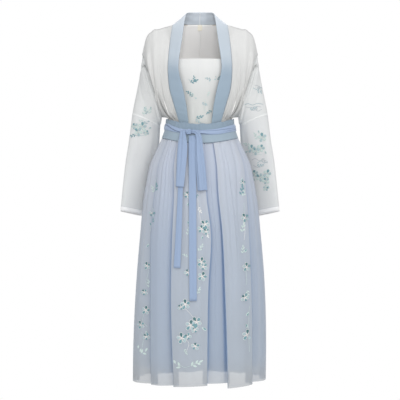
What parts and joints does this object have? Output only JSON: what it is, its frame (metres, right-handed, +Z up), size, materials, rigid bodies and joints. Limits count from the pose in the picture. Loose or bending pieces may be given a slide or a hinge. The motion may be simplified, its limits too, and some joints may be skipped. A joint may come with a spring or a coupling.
{
  "type": "hanfu",
  "caption": "Worn hanfu: open white jacket with long sleeves and blue collar band, white bandeau and pleated blue skirt with lining, waistband and tied bow, hollow.",
  "frame": {"origin": "middle of the neck, at the height where the jacket lies on the shoulders, midway from front to back", "axes": "+Z up; the wearer faces -Y; +X is the wearer's left"},
  "size_m": [0.5844, 0.3472, 1.3368],
  "materials": {
    "white_chiffon": "semi-sheer white chiffon, matt",
    "bandeau_cloth": "opaque off-white cloth, matt",
    "collar_blue": "pale grey-blue woven band, soft sheen",
    "waistband_blue": "grey-blue woven band, matt",
    "skirt_chiffon": "sheer periwinkle chiffon, matt",
    "lining_blue": "opaque pale blue lining, matt",
    "tie_blue": "periwinkle ribbon, soft sheen",
    "label_cream": "cream woven tape, matt"
  },
  "bodies": {
    "root": {"jacket_half_left": "white_chiffon", "jacket_half_right": "white_chiffon", "sleeve_lower_left": "white_chiffon", "sleeve_lower_right": "white_chiffon", "collar_left": "collar_blue", "collar_right": "collar_blue", "bandeau": "bandeau_cloth", "waistband": "waistband_blue", "skirt_panel_front_right": "skirt_chiffon", "skirt_panel_front_centre": "skirt_chiffon", "skirt_panel_front_left": "skirt_chiffon", "skirt_panel_side_left": "skirt_chiffon", "skirt_panel_back_left": "skirt_chiffon", "skirt_panel_back_centre": "skirt_chiffon", "skirt_panel_back_right": "skirt_chiffon", "skirt_panel_side_right": "skirt_chiffon", "skirt_lining_front": "lining_blue", "skirt_lining_front_left": "lining_blue", "skirt_lining_back_left": "lining_blue", "skirt_lining_back": "lining_blue", "skirt_lining_back_right": "lining_blue", "skirt_lining_front_right": "lining_blue", "tie_turn_upper": "tie_blue", "tie_turn_lower": "tie_blue", "tie_knot": "tie_blue", "tie_loop_right": "tie_blue", "tie_loop_left": "tie_blue", "tie_tail_short": "tie_blue", "tie_tail_long": "tie_blue", "neck_label": "label_cream"}
  },
  "joints": []
}
